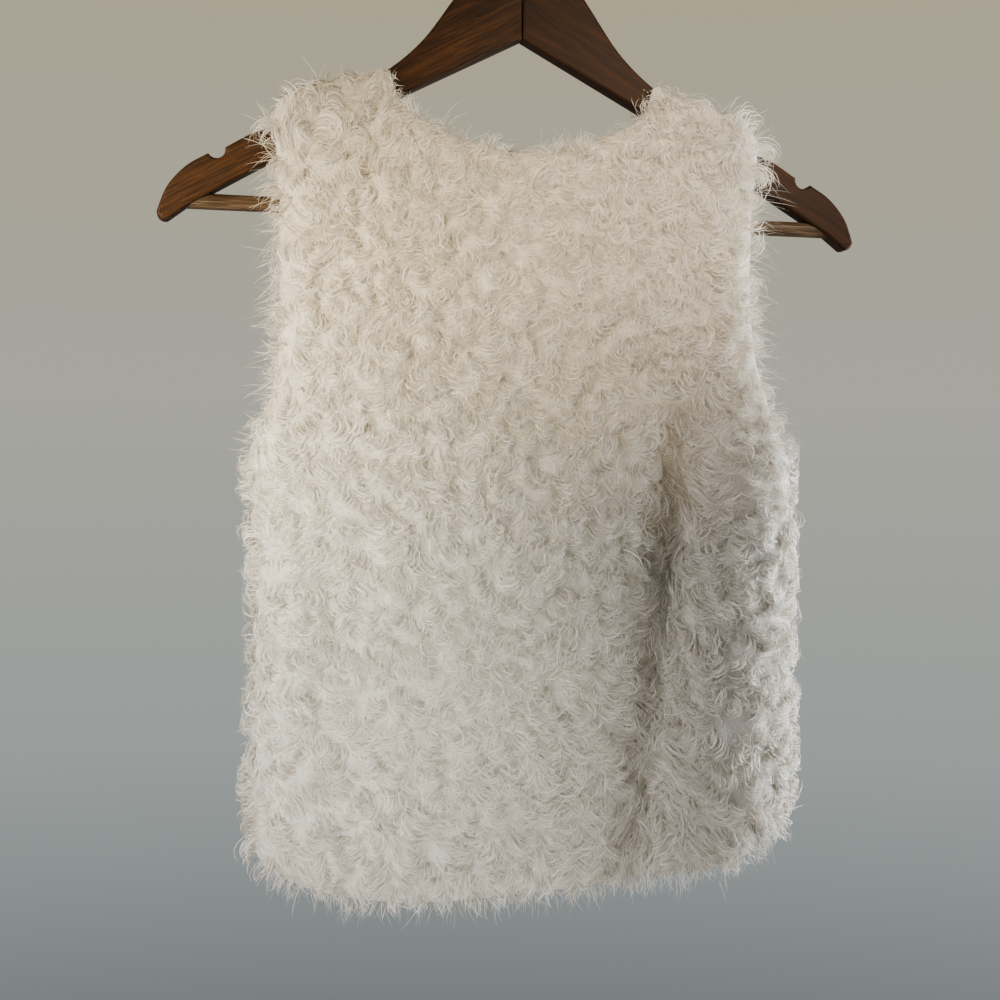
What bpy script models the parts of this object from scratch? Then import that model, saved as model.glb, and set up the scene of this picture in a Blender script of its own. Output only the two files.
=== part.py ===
"""A sleeveless curly faux fur vest, hanging from a flat wooden hanger with a trouser bar.

The vest has a back, and two fronts that meet edge to edge without a fastening. Each is one wall:
the knitted ground of the fur is its plain inside, and its outside is the surface of the pile,
raised into tufts and rounded off along every free edge. The three walls lie 0.3 mm apart at the
shoulder and side seams. The hanger is two mitred wooden arms, a dowel between them and a wire hook.

Sizes are in millimetres and become metres where a mesh is made. +Z is up, the back of the vest
faces -Y and its wearer's right is +X. Zero is where the inside of the hook rests on its rod.
"""

import math
import random

import bmesh
import bpy
from mathutils import Vector

MM = 0.001

# Hanger
HANGER_WIDTH = 445.0
BOARD = 13.0
APEX_Z = -118.0
CROWN_HALF = 17.0
CROWN_RISE = 57.0
EDGE_ROUND = 2.6
MITRE_GAP = 0.3
NOTCH_X = 187.7
NOTCH_RADIUS = 5.4
NOTCH_SINK = 1.6
TIP_ROUND = 5.0
BAR_DROP = 110.3
BAR_RADIUS = 4.9
BAR_HALF = 210.0
BAR_CHAMFER = 0.8
SOCKET_RADIUS = 5.2
SOCKET_END = 210.3

# Hook
WIRE_RADIUS = 1.9
HOOK_INNER = 20.0
HOOK_START = math.radians(250.0)
HOOK_TIP = math.radians(-28.0)
SHANK_DEPTH = 20.0
HOLE_CLEARANCE = 0.3

# Fur cloth
SEAM_GAP = 0.3
SEAT_GAP = 1.8
PILE = 14.0
EDGE_PILE = 2.2
PILE_ROUND = 17.0
TUFT_RAISE = 6.0
TUFT_LEAN = 3.0
TUFT_DROOP = 4.5
TUFT_ROOM = 12.0
SHOULDER_PRESS = 0.38
SHOULDER_REACH = 60.0

# Cut and hang of the vest, measured from the hanger's apex
SHOULDER_HALF = 157.0
NECK_HALF = 92.0
UNDERARM = -258.0
ARM_CLEARANCE = 10.0
WRAP_DEPTH = 7.0
WRAP_POWER = 3.0
RING_POWER = 2.5
HEM = -531.0
HEM_TILT = 0.045
HEM_RISE = 21.5
HEM_POWER = 3.6
FRONT_GAP_TOP = 6.0
FRONT_GAP_HEM = 10.0
FRONT_CORNER = 30.0
FRONT_CORNER_REACH = 62.0

# Top edge of an arm: x from the middle, z above the apex
ARM_TOP = (
    (17.0, 57.0),
    (30.0, 41.0),
    (42.0, 24.5),
    (63.5, -5.5),
    (88.0, -27.0),
    (125.0, -47.5),
    (152.0, -63.2),
    (166.0, -68.2),
    (182.0, -77.6),
)
# The rounded end of an arm, from the notch to the tip
ARM_END = ((193.2, -82.2), (206.0, -90.5), (217.0, -103.5), (222.5, -117.5))
# Lower edge, from the tip to the apex
ARM_LOW = ((204.0, -113.6), (163.0, -89.2), (79.0, -41.4), (0.0, 0.0))

# z, half the width of the ring that the cloth follows, half depth of the back, of the front,
# and how far the vest hangs to the right
SECTIONS = (
    (-20.0, 262.0, 10.0, 10.0, 0.0),
    (-110.0, 216.0, 13.0, 14.0, 0.0),
    (-190.0, 182.0, 19.0, 21.0, 1.5),
    (-258.0, 168.0, 25.0, 28.0, 6.5),
    (-350.0, 163.5, 30.0, 33.0, 9.5),
    (-450.0, 165.0, 33.0, 36.0, 8.5),
    (-540.0, 162.0, 33.0, 36.0, 7.5),
)
# z, half the width between the armholes
ARMHOLES = (
    (-258.0, 168.0),
    (-248.0, 165.0),
    (-232.0, 159.5),
    (-212.0, 154.5),
    (-190.0, 151.0),
    (-158.0, 150.0),
    (-110.0, 151.5),
    (-75.0, 154.5),
    (-45.0, 157.0),
)
# x, z of each neck edge
BACK_NECK = (
    (0.0, -71.5),
    (36.0, -66.0),
    (60.0, -55.5),
    (76.0, -46.0),
    (82.0, -37.5),
    (84.5, -27.8),
    (88.0, -25.5),
    (92.0, -27.5),
)
FRONT_NECK = (
    (0.0, -156.0),
    (27.0, -141.0),
    (52.0, -113.0),
    (70.0, -83.0),
    (82.0, -45.0),
    (84.5, -27.8),
    (88.0, -25.5),
    (92.0, -27.5),
)
# Side (-1 back, 1 front), x and z of the upper end, x and z of the lower end, half width, depth
# inwards. A negative depth is a ridge.
FOLDS = (
    (-1, 106.0, -195.0, 62.0, -545.0, 17.0, 13.0),
    (-1, 142.0, -250.0, 124.0, -545.0, 17.0, -6.0),
    (-1, 46.0, -150.0, 40.0, -545.0, 50.0, 10.0),
    (-1, -128.0, -300.0, -112.0, -545.0, 14.0, 4.0),
    (1, 96.0, -210.0, 74.0, -545.0, 18.0, 9.0),
    (1, 50.0, -260.0, 34.0, -545.0, 20.0, -5.0),
    (1, -92.0, -230.0, -70.0, -545.0, 17.0, 8.0),
    (1, -46.0, -300.0, -34.0, -545.0, 20.0, -5.0),
)
FOLD_FADE = 70.0
FOLD_SIDE_FADE = 22.0

# Columns of a panel, from its middle or front edge to its side, as shares of the half width:
# first where the body is plain, then along the top, where they crowd round the neck point.
BACK_COLUMNS = (
    (0.0, 0.0),
    (0.07, 0.09),
    (0.14, 0.18),
    (0.21, 0.265),
    (0.28, 0.345),
    (0.35, 0.42),
    (0.42, 0.485),
    (0.49, 0.520),
    (0.56, 0.538),
    (0.63, 0.5605),
    (0.70, 0.5861),
    (0.775, 0.66),
    (0.85, 0.75),
    (0.92, 0.85),
    (0.97, 0.94),
    (1.0, 1.0),
)
FRONT_COLUMNS = (
    (0.0, 0.0),
    (0.03, 0.035),
    (0.09, 0.10),
    (0.16, 0.17),
    (0.23, 0.25),
    (0.31, 0.335),
    (0.39, 0.42),
    (0.46, 0.485),
    (0.53, 0.520),
    (0.60, 0.543),
    (0.68, 0.5695),
    (0.75, 0.605),
    (0.83, 0.69),
    (0.91, 0.82),
    (0.97, 0.93),
    (1.0, 1.0),
)
CROWDING = 4
# Rows of a panel, in millimetres below its top edge and above its hem, with even rows between
TOP_ROWS = (0.0, 1.0, 3.0, 7.0, 13.0, 22.0, 34.0)
HEM_ROWS = (0.0, 4.0, 12.0)
BODY_ROWS = 29
PANEL_HEIGHT = 480.0


def curve_at(table, x, column=1):
    """The value in a column of a table at x, on a smooth curve through the rows."""
    rows = sorted(table)
    if x <= rows[0][0]:
        return rows[0][column]
    if x >= rows[-1][0]:
        return rows[-1][column]
    k = next(i for i in range(len(rows) - 1) if x <= rows[i + 1][0])

    def slope(i):
        low, high = rows[max(i - 1, 0)], rows[min(i + 1, len(rows) - 1)]
        return (high[column] - low[column]) / (high[0] - low[0])

    span = rows[k + 1][0] - rows[k][0]
    t = (x - rows[k][0]) / span
    ease = t * t * (3 - 2 * t)
    leave = span * slope(k) * t * (1 - t) ** 2
    arrive = span * slope(k + 1) * t * t * (1 - t)
    return rows[k][column] * (1 - ease) + rows[k + 1][column] * ease + leave - arrive


def smooth_step(t):
    t = min(max(t, 0.0), 1.0)
    return t * t * (3 - 2 * t)


def arc(centre, radius, start, end, steps):
    """Points on an arc, from angle start to angle end, both included."""
    angles = (start + (end - start) * i / steps for i in range(steps + 1))
    return [(centre[0] + radius * math.cos(a), centre[1] + radius * math.sin(a)) for a in angles]


def finish_of(name, colour, roughness, metallic=0.0):
    material = bpy.data.materials.new(name)
    material.use_nodes = True
    shader = material.node_tree.nodes["Principled BSDF"]
    shader.inputs["Base Color"].default_value = (*colour, 1.0)
    shader.inputs["Roughness"].default_value = roughness
    shader.inputs["Metallic"].default_value = metallic
    return material


def new_object(name, data, collection, material=None):
    piece = bpy.data.objects.new(name, data)
    collection.objects.link(piece)
    if material:
        data.materials.append(material)
    return piece


def as_mesh(piece):
    """Turns a curve object with its modifiers into a mesh object, with its loose caps welded."""
    bpy.context.view_layer.update()
    evaluated = piece.evaluated_get(bpy.context.evaluated_depsgraph_get())
    mesh = bpy.data.meshes.new_from_object(evaluated)
    bm = bmesh.new()
    bm.from_mesh(mesh)
    bmesh.ops.remove_doubles(bm, verts=bm.verts, dist=0.01 * MM)
    bm.to_mesh(mesh)
    bm.free()
    name, matrix, home = piece.name, piece.matrix_world.copy(), piece.users_collection[0]
    bpy.data.objects.remove(piece)
    solid = bpy.data.objects.new(name, mesh)
    solid.matrix_world = matrix
    home.objects.link(solid)
    return solid


# Hanger


def arm_outline():
    """One arm seen from the front, as (x, z) points above the apex, anticlockwise from the mitre."""
    mitre = MITRE_GAP / 2
    low = [(mitre, 0.0)] + [point for point in reversed(ARM_LOW) if point[0] > mitre]
    tip = arc((HANGER_WIDTH / 2 - TIP_ROUND, -118.0), TIP_ROUND, math.radians(-110), 0.0, 4)
    end = [(x, z) for x, z in reversed(ARM_END[:-1])]
    notch_z = curve_at(ARM_TOP, NOTCH_X - NOTCH_RADIUS) - NOTCH_SINK
    notch = arc((NOTCH_X, notch_z), NOTCH_RADIUS, math.radians(-32), math.radians(-190), 7)
    steps = 26
    reach = NOTCH_X - NOTCH_RADIUS - CROWN_HALF
    top = [NOTCH_X - NOTCH_RADIUS - 0.3 - reach * i / steps for i in range(steps + 1)]
    ridge = [(x, curve_at(ARM_TOP, x)) for x in top]
    return low + tip + end + notch + ridge + [(mitre, CROWN_RISE)]


def hanger_arm(name, side, collection, material, cutters):
    """A flat outline of the board's thickness with rounded edges, and holes for bar and hook."""
    curve = bpy.data.curves.new(name, "CURVE")
    curve.dimensions = "2D"
    curve.fill_mode = "BOTH"
    curve.extrude = BOARD / 2 * MM
    outline = arm_outline()
    spline = curve.splines.new("POLY")
    spline.points.add(len(outline) - 1)
    for point, (x, z) in zip(spline.points, outline):
        point.co = (side * x * MM, (z + APEX_Z) * MM, 0.0, 1.0)
    spline.use_cyclic_u = True
    arm = new_object(name, curve, collection)
    arm.rotation_euler = (math.radians(90), 0.0, 0.0)
    arm = as_mesh(arm)
    arm.data.materials.clear()
    arm.data.materials.append(material)
    rounding = arm.modifiers.new("rounded edges", "BEVEL")
    rounding.width = EDGE_ROUND * MM
    rounding.segments = 2
    rounding.limit_method = "ANGLE"
    rounding.angle_limit = math.radians(60)
    rounding.use_clamp_overlap = True
    for cutter in cutters:
        hole = arm.modifiers.new(cutter.name, "BOOLEAN")
        hole.operation = "DIFFERENCE"
        hole.object = cutter
    return arm


def cylinder(name, radius, length, centre, rotation, collection, sides=24):
    """A cutter for a round hole."""
    mesh = bpy.data.meshes.new(name)
    bm = bmesh.new()
    bmesh.ops.create_cone(
        bm, cap_ends=True, segments=sides, radius1=radius * MM, radius2=radius * MM, depth=length * MM
    )
    bm.to_mesh(mesh)
    bm.free()
    cutter = new_object(name, mesh, collection)
    cutter.location = Vector(centre) * MM
    cutter.rotation_euler = rotation
    cutter.hide_render = True
    cutter.display_type = "WIRE"
    return cutter


def trouser_bar(collection, material):
    """A dowel with chamfered ends, which lie in the sockets of both arms."""
    half = ((BAR_HALF, 0.0), (BAR_HALF, BAR_RADIUS - BAR_CHAMFER), (BAR_HALF - BAR_CHAMFER, BAR_RADIUS))
    profile = [(x, r) for x, r in half] + [(-x, r) for x, r in reversed(half)]
    mesh = bpy.data.meshes.new("trouser_bar")
    bm = bmesh.new()
    points = [bm.verts.new((r * MM, 0.0, x * MM)) for x, r in profile]
    for a, b in zip(points, points[1:]):
        bm.edges.new((a, b))
    bm.to_mesh(mesh)
    bm.free()
    bar = new_object("trouser_bar", mesh, collection, material)
    bar.location = (0.0, 0.0, (APEX_Z - BAR_DROP) * MM)
    bar.rotation_euler = (0.0, math.radians(90), 0.0)
    turned = bar.modifiers.new("turned", "SCREW")
    turned.axis = "Z"
    turned.steps = 20
    turned.render_steps = 20
    turned.use_merge_vertices = True
    turned.merge_threshold = 0.00001
    return bar


def hook(collection, material):
    """Steel wire: a straight shank, a bend to one side, and an arc that goes over the rod."""
    radius = HOOK_INNER + WIRE_RADIUS
    centre = (0.0, -HOOK_INNER)
    start = (centre[0] + radius * math.cos(HOOK_START), centre[1] + radius * math.sin(HOOK_START))
    turn = HOOK_START - math.radians(180)
    bend = -start[0] / (1 - math.cos(turn))
    bend_z = start[1] - bend * math.sin(turn)
    wood_top = APEX_Z + CROWN_RISE
    route = [(0.0, wood_top - SHANK_DEPTH), (0.0, wood_top)]
    route += arc((-bend, bend_z), bend, 0.0, turn, 6)
    route += arc(centre, radius, HOOK_START, HOOK_TIP, 26)[1:]
    curve = bpy.data.curves.new("hook", "CURVE")
    curve.dimensions = "3D"
    curve.bevel_depth = WIRE_RADIUS * MM
    curve.bevel_resolution = 2
    curve.use_fill_caps = True
    spline = curve.splines.new("POLY")
    spline.points.add(len(route) - 1)
    for point, (x, z) in zip(spline.points, route):
        point.co = (x * MM, 0.0, z * MM, 1.0)
    spline.use_smooth = True
    return new_object("hook", curve, collection, material)


# Vest


def seat_line(x):
    """Height of the cloth's inside where it lies on the arm."""
    return curve_at(ARM_TOP, max(abs(x), 80.0)) + SEAT_GAP


def top_edge(side, x):
    """Height of a panel's top edge: the shoulder seam, or the neck edge inside it."""
    if abs(x) >= NECK_HALF:
        return seat_line(x)
    return curve_at(BACK_NECK if side < 0 else FRONT_NECK, abs(x))


def hem_edge(side, share):
    """Height of the hem. It rises to the side seams, and at the front's lower corners."""
    half = curve_at(SECTIONS, HEM, 1)
    height = HEM + HEM_TILT * share * half + HEM_RISE * abs(share) ** HEM_POWER
    if side > 0:
        corner = max(1 - abs(share) * half / FRONT_CORNER_REACH, 0.0)
        height += FRONT_CORNER * corner**2
    return height


def half_width(z):
    """Half the width of a panel: between the side seams, or between the armholes above them."""
    if z <= UNDERARM:
        return curve_at(SECTIONS, z, 1)
    return curve_at(ARMHOLES, z)


def front_edge(z):
    """Half the gap between the two fronts."""
    share = (z - HEM) / (top_edge(1, 0.0) - HEM)
    return FRONT_GAP_HEM + (FRONT_GAP_TOP - FRONT_GAP_HEM) * min(max(share, 0.0), 1.0)


def fold_depth(side, x, z):
    """How far the folds push the cloth inwards at a place."""
    total = 0.0
    for face, x_top, z_top, x_low, z_low, half, depth in FOLDS:
        if face != side:
            continue
        down = min(max((z_top - z) / (z_top - z_low), 0.0), 1.0)
        away = (x - x_top - (x_low - x_top) * down) / half
        total += depth * math.exp(-away * away / 2) * smooth_step((z_top - z) / FOLD_FADE)
    return total


def cloth_depth(side, x, z):
    """How far the cloth's inside lies from the hanger's middle plane."""
    below = seat_line(x) - z
    wrap = (1 - (1 - min(max(below / WRAP_DEPTH, 0.0), 1.0)) ** WRAP_POWER) ** (1 / WRAP_POWER)
    body = curve_at(SECTIONS, z, 2 if side < 0 else 3)
    hang = ARM_CLEARANCE + (body - ARM_CLEARANCE) * smooth_step((below - 20.0) / 140.0)
    share = min(abs(x) / curve_at(SECTIONS, z, 1), 1.0)
    ring = (1 - share**RING_POWER) ** (1 / RING_POWER)
    side_fade = smooth_step((half_width(z) - abs(x)) / FOLD_SIDE_FADE)
    return SEAM_GAP / 2 + wrap * hang * ring - fold_depth(side, x, z) * side_fade


def column_share(columns, column, crowd):
    """A column's place across the panel, for a column number that may lie between two columns."""
    k = min(int(column), len(columns) - 2)
    t = column - k
    plain, top = (columns[k][i] * (1 - t) + columns[k + 1][i] * t for i in (0, 1))
    return plain + (top - plain) * crowd


class Panel:
    """One cut piece of the vest, as a grid of columns across and rows from the hem up."""

    def __init__(self, side, columns, hand=0):
        self.side = side
        self.columns = columns
        self.hand = hand
        up = [h / PANEL_HEIGHT for h in HEM_ROWS]
        down = [1 - h / PANEL_HEIGHT for h in reversed(TOP_ROWS)]
        step = (down[0] - up[-1]) / BODY_ROWS
        self.rows = up + [up[-1] + step * i for i in range(1, BODY_ROWS)] + down
        last = len(columns) - 1
        self.numbers = list(range(-last, last + 1)) if hand == 0 else list(range(last + 1))

    def share_at(self, number, crowd):
        sign = self.hand or (1 if number >= 0 else -1)
        return sign * column_share(self.columns, abs(number), crowd)

    def top_x(self, number):
        """Where a column ends at the top, measured across from the middle."""
        share = self.share_at(number, 1.0)
        if not self.hand:
            return share * SHOULDER_HALF
        return self.hand * (FRONT_GAP_TOP + abs(share) * (SHOULDER_HALF - FRONT_GAP_TOP))

    def inside(self, number, up):
        """A point of the cloth's inside, for a column number and a share of the height."""
        top_x = self.top_x(number)
        low_share = self.share_at(number, 0.0)
        low = hem_edge(self.side, low_share)
        z = low + (top_edge(self.side, top_x) - low) * up
        half = half_width(z)
        share = self.share_at(number, up**CROWDING)
        x = share * half
        if self.hand:
            gap = front_edge(z)
            x = self.hand * (gap + abs(share) * (half - gap))
        shift = curve_at(SECTIONS, z, 4)
        return Vector((x + shift, self.side * cloth_depth(self.side, x, z), z))

    def room(self, number, up):
        """How much of a whole tuft has room between the columns to either side."""
        first = self.inside(max(number - 1, self.numbers[0]), up)
        last = self.inside(min(number + 1, self.numbers[-1]), up)
        return min((last - first).length / (2 * TUFT_ROOM), 1.0)

    def row_at(self, row):
        k = min(max(int(row), 0), len(self.rows) - 2)
        return self.rows[k] + (self.rows[k + 1] - self.rows[k]) * (row - k)

    def is_seam(self, number, row, point):
        """Whether a point is on the side seam or the shoulder seam."""
        last = len(self.columns) - 1
        at_side = abs(number) == last and point.z <= UNDERARM
        at_shoulder = row == len(self.rows) - 1 and abs(self.top_x(number)) >= NECK_HALF - 0.1
        return at_side, at_shoulder

    def outward(self, number, row, point):
        """The direction in which the pile stands. Along a seam it lies in the seam's plane."""
        nudge = 0.02
        last_row, last = len(self.rows) - 1, self.numbers[-1]
        low_row, high_row = max(row - nudge, 0), min(row + nudge, last_row)
        low, high = max(number - nudge, self.numbers[0]), min(number + nudge, last)
        along = self.inside(high, self.row_at(row)) - self.inside(low, self.row_at(row))
        rise = self.inside(number, self.row_at(high_row)) - self.inside(number, self.row_at(low_row))
        at_side, at_shoulder = self.is_seam(number, row, point)
        if at_shoulder:
            normal = Vector((-along.z, 0.0, along.x)).normalized()
            return normal if normal.z > 0 else -normal
        if at_side:
            normal = Vector((rise.z, 0.0, -rise.x)).normalized()
            return normal if normal.x * point.x > 0 else -normal
        normal = along.cross(rise).normalized()
        return normal if normal.y * self.side > 0 else -normal

    def free_edges(self):
        """Points along the edges that aren't sewn to another panel."""
        fine = [i / 6 for i in range(self.numbers[0] * 6, self.numbers[-1] * 6 + 1)]
        edges = [self.inside(n, 0.0) for n in fine]
        edges += [self.inside(n, 1.0) for n in fine if abs(self.top_x(n)) <= NECK_HALF]
        ends = (self.numbers[0], self.numbers[-1])
        for number in ends:
            for i in range(121):
                point = self.inside(number, i / 120)
                if abs(number) < len(self.columns) - 1 or point.z >= UNDERARM:
                    edges.append(point)
        return edges


def tufted_wall(name, panel, seed, collection, material):
    """The panel's sheet, made a wall by Solidify, with its outer points raised into tufts."""
    columns, rows = len(panel.numbers), len(panel.rows)
    mesh = bpy.data.meshes.new(name)
    bm = bmesh.new()
    bmesh.ops.create_grid(bm, x_segments=columns - 1, y_segments=rows - 1, size=0.5)
    places = []
    for vert in bm.verts:
        column = round((vert.co.x + 0.5) * (columns - 1))
        row = round((vert.co.y + 0.5) * (rows - 1))
        places.append((column, row))
        vert.co = panel.inside(panel.numbers[column], panel.rows[row]) * MM
    # Every second point carries a tuft. Splitting between the others leaves it four faces.
    for face in list(bm.faces):
        hollow = [vert for vert in face.verts if sum(places[vert.index]) % 2 == 0]
        bmesh.utils.face_split(face, *hollow)
    if panel.side * panel.hand > 0:
        bmesh.ops.reverse_faces(bm, faces=bm.faces)
    bm.to_mesh(mesh)
    bm.free()
    sheet = new_object(name, mesh, collection, material)
    wall = sheet.modifiers.new("wall", "SOLIDIFY")
    wall.thickness = PILE * MM
    wall.offset = 1.0
    bpy.context.view_layer.update()
    evaluated = sheet.evaluated_get(bpy.context.evaluated_depsgraph_get())
    solid = bpy.data.meshes.new_from_object(evaluated)
    sheet.modifiers.clear()
    sheet.data = solid
    bpy.data.meshes.remove(mesh)

    # Solidify moves the sheet's own points out, and puts the inside's points after them.
    draw = random.Random(seed)
    edges = panel.free_edges()
    for k, (column, row) in enumerate(places):
        number = panel.numbers[column]
        point = panel.inside(number, panel.rows[row])
        normal = panel.outward(number, row, point)
        free = min(math.hypot(point.x - e.x, point.z - e.z) for e in edges)
        rounding = math.sqrt(1 - (1 - min(free / PILE_ROUND, 1.0)) ** 2)
        pressed = 1 - SHOULDER_PRESS * (1 - smooth_step((seat_line(point.x) - point.z) / SHOULDER_REACH))
        stand = EDGE_PILE + (PILE * pressed - EDGE_PILE) * rounding
        raised = draw.uniform(0.5, 1.0) if (column + row) % 2 else draw.uniform(0.0, 0.25)
        raised *= panel.room(number, panel.rows[row])
        lean, droop = draw.uniform(-1, 1) * TUFT_LEAN * raised, raised * TUFT_DROOP
        if True in panel.is_seam(number, row, point):
            raised, lean, droop = 0.5, 0.0, 0.0
        stand += TUFT_RAISE * raised * rounding * pressed
        point += normal * stand + Vector((lean, 0.0, -droop)) * rounding
        solid.vertices[k].co = point * MM
    for polygon in solid.polygons:
        polygon.use_smooth = True
    return sheet


def lift_to_row_frame(pieces):
    """The vest is cut from the hanger's apex, which lies below the rod."""
    for piece in pieces:
        piece.location = (0.0, 0.0, APEX_Z * MM)


def main():
    for old in list(bpy.data.objects):
        bpy.data.objects.remove(old)
    parts = bpy.data.collections.new("faux_fur_vest_on_hanger")
    cutters = bpy.data.collections.new("cutters")
    bpy.context.scene.collection.children.link(parts)
    bpy.context.scene.collection.children.link(cutters)

    fur = finish_of("ivory_faux_fur", (0.78, 0.73, 0.66), 0.9)
    wood = finish_of("stained_beech", (0.085, 0.038, 0.017), 0.42)
    steel = finish_of("polished_steel", (0.62, 0.61, 0.59), 0.2, 1.0)

    socket_length = 30.0
    sideways = (0.0, math.radians(90), 0.0)
    shank = cylinder(
        "shank_hole",
        WIRE_RADIUS + HOLE_CLEARANCE,
        2 * (SHANK_DEPTH + HOLE_CLEARANCE),
        (0.0, 0.0, APEX_Z + CROWN_RISE),
        (0.0, 0.0, 0.0),
        cutters,
    )
    for name, side in (("hanger_arm_left", -1), ("hanger_arm_right", 1)):
        centre = (side * (SOCKET_END - socket_length / 2), 0.0, APEX_Z - BAR_DROP)
        socket = cylinder(f"{name}_socket", SOCKET_RADIUS, socket_length, centre, sideways, cutters)
        hanger_arm(name, side, parts, wood, (socket, shank))
    trouser_bar(parts, wood)
    hook(parts, steel)

    vest = [
        tufted_wall("back_panel", Panel(-1, BACK_COLUMNS), 11, parts, fur),
        tufted_wall("front_left", Panel(1, FRONT_COLUMNS, -1), 12, parts, fur),
        tufted_wall("front_right", Panel(1, FRONT_COLUMNS, 1), 13, parts, fur),
    ]
    lift_to_row_frame(vest)


main()
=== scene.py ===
# %% [markdown]
# # A curly faux fur vest on a wooden hanger
#
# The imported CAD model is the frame: its bodies, its box and its places are fixed, and this
# script dresses it. Everything is in metres, in the same frame as the CAD, with zero at the
# inside of the hook, +Z up and the back of the vest towards -Y.

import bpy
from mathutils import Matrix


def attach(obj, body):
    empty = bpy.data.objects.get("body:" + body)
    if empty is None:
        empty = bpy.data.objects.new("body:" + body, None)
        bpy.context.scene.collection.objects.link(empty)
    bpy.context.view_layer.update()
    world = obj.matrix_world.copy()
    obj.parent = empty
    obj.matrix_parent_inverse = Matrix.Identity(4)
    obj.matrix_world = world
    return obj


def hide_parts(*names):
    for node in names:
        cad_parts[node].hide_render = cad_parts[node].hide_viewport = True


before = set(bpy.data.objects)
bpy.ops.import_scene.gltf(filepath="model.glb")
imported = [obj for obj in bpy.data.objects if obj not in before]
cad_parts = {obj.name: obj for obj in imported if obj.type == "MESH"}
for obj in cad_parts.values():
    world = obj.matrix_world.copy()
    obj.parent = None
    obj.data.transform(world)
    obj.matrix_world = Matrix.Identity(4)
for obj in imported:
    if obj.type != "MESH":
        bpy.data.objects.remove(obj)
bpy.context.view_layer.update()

# %% Modules and units
import math

import bpy
import numpy as np
from mathutils import Matrix, Vector

MM = 0.001

# %% [markdown]
# ## The cut and hang of the vest
#
# The cloth hangs as rings between the hanger and the hem. Short tables give the ring's size at
# a few heights, and the shape of each edge, in millimetres from the hanger's apex, the point
# where its two arms meet underneath. They are the values that the CAD solids were made from,
# so the thin cloth here lies exactly on the plain inside of the thick CAD walls.

# %% Tables of the cut
APEX_Z = -118.0  # the apex, below the CAD's zero
SEAM_GAP = 0.3
SEAT_GAP = 1.8  # the cloth lies this far above an arm's top edge
SHOULDER_HALF = 157.0
NECK_HALF = 92.0
UNDERARM = -258.0
ARM_CLEARANCE = 10.0  # from the middle plane to the cloth beside an arm
WRAP_DEPTH = 7.0  # within this the cloth turns from the top of an arm to its side
WRAP_POWER = 3.0
HANG_START = 20.0  # this far below an arm's top the cloth begins to swing out to its ring
HANG_RUN = 140.0
RING_POWER = 2.5
HEM = -531.0
HEM_TILT = 0.045
HEM_RISE = 21.5
HEM_POWER = 3.6
FRONT_GAP_TOP = 6.0  # half of the gap between the fronts
FRONT_GAP_HEM = 10.0
FRONT_CORNER = 30.0  # the hem's rise at the centre front
FRONT_CORNER_REACH = 62.0
FOLD_FADE = 70.0
FOLD_SIDE_FADE = 22.0

# x from the middle, z of the top edge of a hanger arm
ARM_TOP = (
    (17.0, 57.0),
    (30.0, 41.0),
    (42.0, 24.5),
    (63.5, -5.5),
    (88.0, -27.0),
    (125.0, -47.5),
    (152.0, -63.2),
    (166.0, -68.2),
    (182.0, -77.6),
)
# x, z of its low edge
ARM_LOW = ((204.0, -113.6), (163.0, -89.2), (79.0, -41.4), (0.0, 0.0))
# z, half width of the ring, half depth of the back, of the front, and how far it hangs right
SECTIONS = (
    (-20.0, 262.0, 10.0, 10.0, 0.0),
    (-110.0, 216.0, 13.0, 14.0, 0.0),
    (-190.0, 182.0, 19.0, 21.0, 1.5),
    (-258.0, 168.0, 25.0, 28.0, 6.5),
    (-350.0, 163.5, 30.0, 33.0, 9.5),
    (-450.0, 165.0, 33.0, 36.0, 8.5),
    (-540.0, 162.0, 33.0, 36.0, 7.5),
)
# z, half the width between the armholes
ARMHOLES = (
    (-258.0, 168.0),
    (-248.0, 165.0),
    (-232.0, 159.5),
    (-212.0, 154.5),
    (-190.0, 151.0),
    (-158.0, 150.0),
    (-110.0, 151.5),
    (-75.0, 154.5),
    (-45.0, 157.0),
)
# x, z of the neck edges
BACK_NECK = (
    (0.0, -71.5),
    (36.0, -66.0),
    (60.0, -55.5),
    (76.0, -46.0),
    (82.0, -37.5),
    (84.5, -27.8),
    (88.0, -25.5),
    (92.0, -27.5),
)
FRONT_NECK = (
    (0.0, -156.0),
    (27.0, -141.0),
    (52.0, -113.0),
    (70.0, -83.0),
    (82.0, -45.0),
    (84.5, -27.8),
    (88.0, -25.5),
    (92.0, -27.5),
)
# side (-1 back, 1 front), x and z of the upper end, of the lower end, half width, depth inwards
FOLDS = (
    (-1, 106.0, -195.0, 62.0, -545.0, 17.0, 13.0),
    (-1, 142.0, -250.0, 124.0, -545.0, 17.0, -6.0),
    (-1, 46.0, -150.0, 40.0, -545.0, 50.0, 10.0),
    (-1, -128.0, -300.0, -112.0, -545.0, 14.0, 4.0),
    (1, 96.0, -210.0, 74.0, -545.0, 18.0, 9.0),
    (1, 50.0, -260.0, 34.0, -545.0, 20.0, -5.0),
    (1, -92.0, -230.0, -70.0, -545.0, 17.0, 8.0),
    (1, -46.0, -300.0, -34.0, -545.0, 20.0, -5.0),
)
# the upper and the lower end of the deep fold under the right shoulder blade
VALLEY = FOLDS[0][1:5]

# %% [markdown]
# ## The cloth as a function
#
# A panel is a surface with two coordinates: `share`, from its middle or front edge to its side,
# and `up`, from hem to top. Written with arrays, one call gives any number of its points, and
# both the cloth and the roots of the fur come from it. The cloth is trimmed 2 mm short of its
# free edges, because there the fur itself makes the outline.

# %% Smooth curves through a table
TRIM = 2.0
CORNER_TRIM = 7.0  # the hem's corners are trimmed by this much more
TRIM_RUN = 20.0  # above the underarm the trim sets in over this height
NECK_TRIM_END, NECK_TRIM_RUN = 84.0, 10.0
SEAT_END = 80.0  # nearer to the middle the line stays level, because the neck is cut out there


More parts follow.
